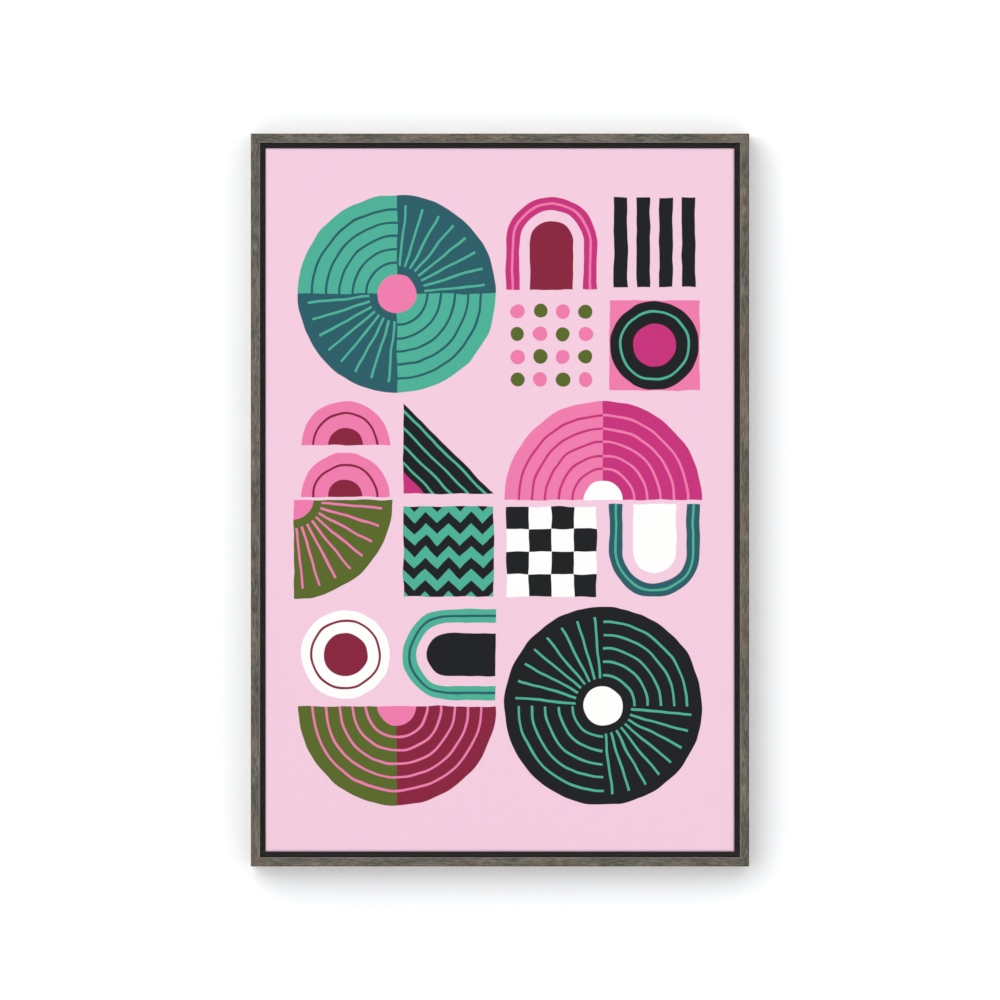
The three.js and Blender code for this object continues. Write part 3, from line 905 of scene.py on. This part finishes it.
def settled(point):
    """The small waves of real cloth: hardly any on the stretched front, more along the cut edge behind."""
    from_side, from_end = edge_gaps(point)
    edge, upright = min(from_side, from_end), from_side < from_end
    if point.y < CANVAS_LOW.y + SAME_PLACE:
        calm = min(edge / TAUT_RIM, 1.0)
        wave = noise.noise(point * 9.0) + 0.4 * noise.noise(point * 31.0)
        return Vector((0, FRONT_WAVE * calm * wave, 0))
    if point.y < CANVAS_HIGH.y - SAME_PLACE:
        return Vector()
    along = point.z if upright else point.x
    free = min(max((edge - LEDGE_EDGE) / (CLOTH_FOLD - LEDGE_EDGE), 0.0), 1.0)
    lift = FOLD_LIFT * free * (0.5 + 0.5 * noise.noise(Vector((along * 34.0, 3.0, 0))))
    wander = EDGE_WANDER * free * noise.noise(Vector((along * 60.0, 9.0, 0)))
    if upright:
        return Vector((math.copysign(wander, -point.x), lift, 0))
    return Vector((0, lift, math.copysign(wander, CENTRE_Z - point.z)))


# %% The cloth's faces, panel by panel
LAST_X, LAST_Y, LAST_Z = len(WIDE) - 1, len(DEEP_LINES) - 1, len(TALL) - 1


def fold_cell(i, k):
    """One cell of the fold behind. A cell on a corner's diagonal is half one panel and half the other."""
    across, upwards = min(i, LAST_X - 1 - i), min(k, LAST_Z - 1 - k)
    if min(across, upwards) >= FOLD_LINE:
        return
    left, low = i < LAST_X / 2, k < LAST_Z / 2
    side, end = "left" if left else "right", "bottom" if low else "top"
    corners = [(i, LAST_Y, k), (i, LAST_Y, k + 1), (i + 1, LAST_Y, k + 1), (i + 1, LAST_Y, k)]
    if across != upwards:
        yield side if across < upwards else end, corners
        return
    column, row = i if left else i + 1, k if low else k + 1
    yield side, [corner for corner in corners if corner[0] == column or corner[2] != row]
    yield end, [corner for corner in corners if corner[2] == row or corner[0] != column]


def skin_cells():
    """Each face of the skin as grid indices, with the name of its panel."""
    for i in range(LAST_X):
        for k in range(LAST_Z):
            yield "front", [(i, 0, k), (i + 1, 0, k), (i + 1, 0, k + 1), (i, 0, k + 1)]
            yield from fold_cell(i, k)
    for j in range(LAST_Y):
        for k in range(LAST_Z):
            yield "left", [(0, j, k), (0, j, k + 1), (0, j + 1, k + 1), (0, j + 1, k)]
            yield "right", [(LAST_X, j, k), (LAST_X, j + 1, k), (LAST_X, j + 1, k + 1), (LAST_X, j, k + 1)]
        for i in range(LAST_X):
            yield "bottom", [(i, j, 0), (i, j + 1, 0), (i + 1, j + 1, 0), (i + 1, j, 0)]
            yield "top", [(i, j, LAST_Z), (i + 1, j, LAST_Z), (i + 1, j + 1, LAST_Z), (i, j + 1, LAST_Z)]


# %% The tucked corners: each end's fold lies over the sides' folds
LAP_LINE = FINE_LINES.index(15)
LAP_RISE = 0.6 * MM
LAP_SLIDE = 0.9 * MM
LAP_FADE = 18 * MM


def is_lapped(panel, index):
    """True for the fold's points that lie on top at a corner, and so don't join their neighbours."""
    _, j, k = index
    return panel in ("top", "bottom") and j == LAST_Y and min(k, LAST_Z - k) > LAP_LINE


def lap_offset(point):
    """Lifts a lapped point off the fold below, and slides it over the corner's diagonal."""
    from_side, from_end = edge_gaps(point)
    near = 1 - (from_side - CLOTH_FOLD) / LAP_FADE
    slide = LAP_SLIDE if abs(from_side - from_end) < SAME_PLACE else 0.0
    return Vector((math.copysign(slide, point.x), LAP_RISE * min(max(near, 0.0), 1.0), 0))


def plan_place(panel, point):
    """Where a point of the sharp box lay when the cloth was flat, from the middle of the front."""
    x, z = point.x, point.z - CENTRE_Z
    if panel == "front":
        return x, z
    if panel in ("left", "right"):
        past = point.y - CANVAS_LOW.y + CANVAS_HALF_WIDTH - abs(x)
        return math.copysign(CANVAS_HALF_WIDTH + past, x), z
    past = point.y - CANVAS_LOW.y + CANVAS_HALF_HEIGHT - abs(z)
    return x, math.copysign(CANVAS_HALF_HEIGHT + past, z)


# %% Build the cloth
def new_piece(name, mesh, material, slot, *replaced):
    """A finished piece of the object, standing for the solids that it replaces."""
    piece = bpy.data.objects.new(name, mesh)
    bpy.context.scene.collection.objects.link(piece)
    mesh.materials.append(material)
    mesh.shade_smooth()
    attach(piece, "root")
    if replaced:
        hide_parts(*replaced)
    print(f"{name}: {len(mesh.polygons)} faces")
    return piece


def cloth_mesh():
    shell = bmesh.new()
    plan = shell.loops.layers.uv.new(CLOTH_PLAN)
    corners = {}
    for panel, indices in skin_cells():
        sharp = [Vector((WIDE[i], DEEP_LINES[j], TALL[k])) for i, j, k in indices]
        keys = [(index, is_lapped(panel, index)) for index in indices]
        for key, point in zip(keys, sharp):
            if key not in corners:
                lap = lap_offset(point) if key[1] else Vector()
                corners[key] = shell.verts.new(rounded(point) + settled(point) + lap)
        face = shell.faces.new([corners[key] for key in keys])
        for loop, point in zip(face.loops, sharp):
            loop[plan].uv = plan_place(panel, point)
    mesh = bpy.data.meshes.new("canvas_print")
    shell.to_mesh(mesh)
    shell.free()
    return mesh


canvas = new_piece("canvas_print", cloth_mesh(), printed_canvas, "printed_canvas", "canvas_cloth")
canvas.data.materials.append(raw_cotton)
thickness = canvas.modifiers.new("cloth_thickness", "SOLIDIFY")
thickness.thickness = CLOTH_THICK
thickness.offset = -1.0
thickness.material_offset = 1
thickness.material_offset_rim = 1

# %% [markdown]
# ## Staples
#
# The fold is stapled to the bars' backs about every 50 mm, by hand, so no two sit quite alike. A staple is
# one flat wire: two legs driven into the pine and a crown that lies on the cloth. Sweeping a flat section
# along that path gives it its soft corners. Each side's staples are one piece.

# %% Sweep a flat wire along a path
WIRE_SIDES = 8


def join_hoops(shell, hoops, steps):
    """Faces between each hoop of points and the next. A hoop of one point closes a disc."""
    for first, second in zip(hoops, hoops[1:]):
        for k in range(steps):
            m = (k + 1) % steps
            corners = [hoop[i % len(hoop)] for hoop, i in ((first, k), (first, m), (second, m), (second, k))]
            shell.faces.new(list(dict.fromkeys(corners)))


def sweep(shell, path, width, thick, sideways):
    """A wire of oval section along the path, its width turned to face sideways."""
    hoops = []
    for i, point in enumerate(path):
        before, after = path[max(i - 1, 0)], path[min(i + 1, len(path) - 1)]
        heading = (after - before).normalized()
        outwards = heading.cross(sideways).normalized()
        hoops.append([
            shell.verts.new(
                point
                + sideways * (width / 2 * math.cos(2 * math.pi * k / WIRE_SIDES))
                + outwards * (thick / 2 * math.sin(2 * math.pi * k / WIRE_SIDES))
            )
            for k in range(WIRE_SIDES)
        ])
    join_hoops(shell, hoops, WIRE_SIDES)
    shell.faces.new(list(reversed(hoops[0])))
    shell.faces.new(hoops[-1])


def mesh_of(shell, name):
    bmesh.ops.recalc_face_normals(shell, faces=shell.faces)
    mesh = bpy.data.meshes.new(name)
    shell.to_mesh(mesh)
    shell.free()
    return mesh


# %% Staple the fold down
STAPLE_CROWN = 10 * MM
STAPLE_LEG = 6 * MM
STAPLE_BEND = 0.8 * MM
STAPLE_WIRE = (1.2 * MM, 0.6 * MM)
STAPLE_SPACING = 50 * MM
STAPLE_FROM_EDGE = 21.5 * MM
STAPLE_PROUD = 0.4 * MM
STAPLE_TURN = 0.2
CORNER_STAPLE_FROM_EDGE = 24 * MM
CORNER_STAPLE_PROUD = 1.1 * MM
CORNER_STAPLE_TURN = 0.8
WALLWARD = Vector((0, 1, 0))
hand = random.Random(24)


def staple(shell, middle, along):
    """Its crown lies on the cloth at middle, and its legs go towards -Y."""
    half = STAPLE_CROWN / 2
    legs = [(-half, -STAPLE_LEG), (-half, -STAPLE_BEND)]
    bend = [
        (-half + STAPLE_BEND * (1 - math.cos(angle)), STAPLE_BEND * (math.sin(angle) - 1))
        for angle in (0.4, 0.8, 1.2)
    ]
    side = [*legs, *bend, (-half + STAPLE_BEND, 0.0)]
    outline = side + [(-x, y) for x, y in reversed(side)]
    path = [middle + along * x + WALLWARD * y for x, y in outline]
    sweep(shell, path, *STAPLE_WIRE, along.cross(WALLWARD))


def drive(shell, x, z, angle, proud):
    """Drives a staple at a place on the fold, turned by an angle from level."""
    angle += hand.uniform(-STAPLE_TURN, STAPLE_TURN)
    middle = Vector((x, CANVAS_HIGH.y + proud, CENTRE_Z + z))
    staple(shell, middle, Vector((math.cos(angle), 0, math.sin(angle))))


def slip(most):
    """How far a hand is off, up to this many millimetres either way."""
    return hand.uniform(-most, most) * MM


def staples_on(side, upright):
    sign = 1 if side in ("top", "right") else -1
    reach = (CANVAS_HALF_WIDTH if upright else CANVAS_HALF_HEIGHT) - STAPLE_FROM_EDGE
    run = (CANVAS_HALF_HEIGHT if upright else CANVAS_HALF_WIDTH) - 2.2 * STAPLE_FROM_EDGE
    count = round(2 * run / STAPLE_SPACING) + 1
    shell = bmesh.new()
    for i in range(count):
        place = -run + 2 * run * i / (count - 1) + slip(4)
        off = sign * (reach + slip(1.5))
        x, z = (off, place) if upright else (place, off)
        drive(shell, x, z, math.pi / 2 if upright else 0.0, STAPLE_PROUD)
    if not upright:
        for end in (-1, 1):
            x = end * (CANVAS_HALF_WIDTH - CORNER_STAPLE_FROM_EDGE)
            drive(shell, x, sign * reach, -end * sign * CORNER_STAPLE_TURN, CORNER_STAPLE_PROUD)
    print(f"{count} staples along the {side} side")
    new_piece(f"staples_{side}", mesh_of(shell, f"staples_{side}"), zinc, "zinc_steel")


for side, upright in SIDES.items():
    staples_on(side, upright)

# %% [markdown]
# ## Loose threads
#
# The fold ends where the canvas was cut, so a few short threads stand out of that edge. A rough edge could
# be painted on, but it would not break the outline. Real stubs of thread do, and they cost little.

# %% Threads along the cut edge
THREAD_WIDTH = 0.32 * MM
THREAD_ROOT = 1.2 * MM
THREAD_CURL = 0.5 * MM
CORNER_MARGIN = 5 * MM
threads_hand = random.Random(7)


def frayed_threads():
    shell = bmesh.new()
    half_x, half_z = CANVAS_HALF_WIDTH - CLOTH_FOLD, CANVAS_HALF_HEIGHT - CLOTH_FOLD
    right, up = Vector((1, 0, 0)), Vector((0, 0, 1))
    sides = (
        (right, up, half_z, half_x), (-right, up, half_z, half_x),
        (up, right, half_x, half_z), (-up, right, half_x, half_z),
    )
    for outwards, along, run, reach in sides:
        place = -run + CORNER_MARGIN
        while place < run - CORNER_MARGIN:
            reach_in = threads_hand.uniform(1.5, 5.0) * MM
            lean = threads_hand.uniform(-0.8, 0.8)
            root = outwards * (reach + THREAD_ROOT) + along * place
            root += Vector((0, CANVAS_HIGH.y + 0.15 * MM, CENTRE_Z))
            path = [
                root - outwards * reach_in * t + along * lean * reach_in * t * t
                + WALLWARD * THREAD_CURL * math.sin(2.2 * t)
                for t in (0, 0.35, 0.7, 1.0)
            ]
            sweep(shell, path, THREAD_WIDTH, THREAD_WIDTH, along)
            place += threads_hand.uniform(5, 22) * MM
    return mesh_of(shell, "canvas_loose_threads")


loose_threads = new_piece("canvas_loose_threads", frayed_threads(), raw_cotton, "printed_canvas")

# %% [markdown]
# ## Felt bumpers
#
# Two discs of felt keep the bottom of the frame as far off the wall as the hanger keeps its top. They are
# punched from thick felt, so their rim is soft and never quite round. Turning a profile about an axis gives
# the disc, and a little noise on its rim gives the felt.

# %% The felt's finish
def felt_finish():
    constants = {"Roughness": 0.97, "Specular_IOR_Level": 0.15, "Sheen_Weight": 0.3}
    material, tree, shader = new_finish("grey_felt", **constants)
    place = object_place(tree)
    clumps = cloudy(place, 700.0, 4.0, 0.7)
    fibres = cloudy(place, 4200.0, 3.0, 0.8)
    tone = mix(ramp(clumps, 0.3, 0.7), seen_as(56, 56, 59), seen_as(86, 86, 90))
    tone = mix(ramp(fibres, 0.55, 0.8, 0.0, 0.6), tone, seen_as(128, 128, 132))
    plug(tree, shader.inputs["Base Color"], tone)
    bump(tree, shader, clumps + fibres * 0.5, 0.8, 0.3 * MM)
    return material


# %% Turn the bumpers
BUMPER_PROFILE = [
    (0, 0), (0.9, 0), (0.97, 0.05), (1, 0.16),
    (1, 0.8), (0.96, 0.93), (0.88, 1), (0.45, 1), (0, 1),
]
BUMPER_STEPS = 56
RIM_WOBBLE = 0.025


def bumper(side, felt):
    low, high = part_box(f"wall_bumper_{side}")
    middle = (low + high) / 2
    radius, thick = (high.x - low.x) / 2, high.y - low.y
    shell = bmesh.new()
    hoops = []
    for share, rise in BUMPER_PROFILE:
        hoop = []
        for step in range(BUMPER_STEPS if share else 1):
            angle = 2 * math.pi * step / BUMPER_STEPS
            spoke = Vector((math.cos(angle), 0, math.sin(angle)))
            rim_noise = noise.noise(spoke * 3.0 + middle * 9.0 + Vector((0, rise, 0)))
            wobble = 1 - RIM_WOBBLE * share * (0.5 + rim_noise)
            hoop.append(shell.verts.new(
                Vector((middle.x, low.y + thick * rise, middle.z)) + spoke * radius * share * wobble
            ))
        hoops.append(hoop)
    join_hoops(shell, hoops, BUMPER_STEPS)
    name = f"felt_bumper_{side}"
    new_piece(name, mesh_of(shell, name), felt, "bumper_felt", f"wall_bumper_{side}")


felt = felt_finish()
for side in ("left", "right"):
    bumper(side, felt)

# %% [markdown]
# ## The room
#
# The frame hangs on a white wall above a pale floor. Both belong to the stage and not to the object. They
# would hide the frame from behind and from below, so each is painted on one side only: seen from its other
# side it lets everything through. The wall's white is a touch cool, because the wood throws warm light back
# onto it and the shade round the frame should come out neutral. The wall itself throws nothing onto the
# frame, so that the light on the picture doesn't depend on it.

# %% Wall and floor
FLOOR_DROP = 0.30
WALL_GAP = 0.3 * MM
ROOM_HALF = 15.0


def stage_sheet(name, middle, upwards, colour):
    """A flat sheet that only shows from the side on which +X points right and upwards points up."""
    right = Vector((ROOM_HALF, 0, 0))
    corners = [middle + right * a + upwards * b for a, b in ((-1, -1), (1, -1), (1, 1), (-1, 1))]
    mesh = bpy.data.meshes.new(name)
    mesh.from_pydata(corners, [], [(0, 1, 2, 3)])
    sheet = bpy.data.objects.new(name, mesh)
    bpy.context.scene.collection.objects.link(sheet)
    material, tree, shader = new_finish(name, Roughness=0.9, Specular_IOR_Level=0.1)
    tint = mix(ramp(cloudy(object_place(tree), 1.3, 2.0), 0.3, 0.7, 0.0, 0.02), colour, SHADED)
    plug(tree, shader.inputs["Base Color"], tint)
    behind = new_node(tree, "ShaderNodeNewGeometry", {}, "Backfacing")
    clear = new_node(tree, "ShaderNodeBsdfTransparent", {})
    sides = {0: behind, 1: Field(tree, shader.outputs[0]), 2: clear}
    plug(tree, tree.nodes["Material Output"].inputs["Surface"], new_node(tree, "ShaderNodeMixShader", sides))
    mesh.materials.append(material)
    return sheet


COOL_WHITE = (0.962, 0.97, 0.981, 1.0)
PALE_FLOOR = (0.69, 0.695, 0.7, 1.0)
SHADED = (0.6, 0.6, 0.6, 1.0)
floor_z = FRAME_BOTTOM - FLOOR_DROP
wall_middle = Vector((0, WALL_GAP, floor_z + ROOM_HALF))
wall = stage_sheet("room_wall", wall_middle, Vector((0, 0, ROOM_HALF)), COOL_WHITE)
for ray in ("diffuse", "glossy", "transmission", "shadow"):
    setattr(wall, f"visible_{ray}", False)
stage_sheet("room_floor", Vector((0, 0, floor_z)), Vector((0, ROOM_HALF, 0)), PALE_FLOOR)
print(f"the floor lies {1000 * FLOOR_DROP:.0f} mm under the frame")

# %% [markdown]
# ## Light
#
# The wall is lit evenly, with a soft shadow to the lower right of the frame and only a hint of one to its
# upper left. One lamp alone would make that shadow too dark. An even dome of light gives the faint shade
# all round, and one wide sun from the upper left pushes it to the other side. Its twin does the same for
# the back, which would look flat under the dome alone. The front never sees that light, because it comes
# from behind.

# %% Dome and suns
world = bpy.data.worlds.new("studio")
world.use_nodes = True
dome = world.node_tree.nodes["Background"]
dome.inputs["Color"].default_value = (1.0, 1.0, 1.0, 1.0)
dome.inputs["Strength"].default_value = DOME_LIGHT
bpy.context.scene.world = world


def wide_sun(name, source, angle):
    """A sun that adds KEY_LIGHT to a surface that faces along Y, towards it."""
    light = bpy.data.lights.new(name, "SUN")
    light.angle = math.radians(angle)
    light.energy = KEY_LIGHT * math.pi / abs(source.normalized().y)
    sun = bpy.data.objects.new(name, light)
    sun.rotation_euler = source.to_track_quat("Z", "Y").to_euler()
    bpy.context.scene.collection.objects.link(sun)


wide_sun("key", Vector((-0.68, -1.0, 0.57)), angle=56)
wide_sun("key_behind", Vector((0.68, 1.0, 0.57)), angle=30)
bpy.context.scene.view_settings.view_transform = "Standard"

# %% [markdown]
# ## Camera
#
# The frame is seen square on and from far away, so its left and right rails look equally wide and none of
# its depth shows. The camera could stand anywhere along that line. Its lens follows from its distance and
# from how wide the view is at the frame's front.

# %% Camera
CAMERA_DISTANCE = 12.0
PICTURE_WIDTH = 1.2995
camera_data = bpy.data.cameras.new("camera")
camera_data.sensor_width = 36.0
camera_data.lens = camera_data.sensor_width * (CAMERA_DISTANCE + FRAME_FRONT) / PICTURE_WIDTH
camera_data.clip_end = 100.0
camera = bpy.data.objects.new("camera", camera_data)
camera.location = (0.0, -CAMERA_DISTANCE, CENTRE_Z)
camera.rotation_euler = (math.pi / 2, 0.0, 0.0)
bpy.context.scene.collection.objects.link(camera)
bpy.context.scene.camera = camera
print(f"lens {camera_data.lens:.1f} mm")
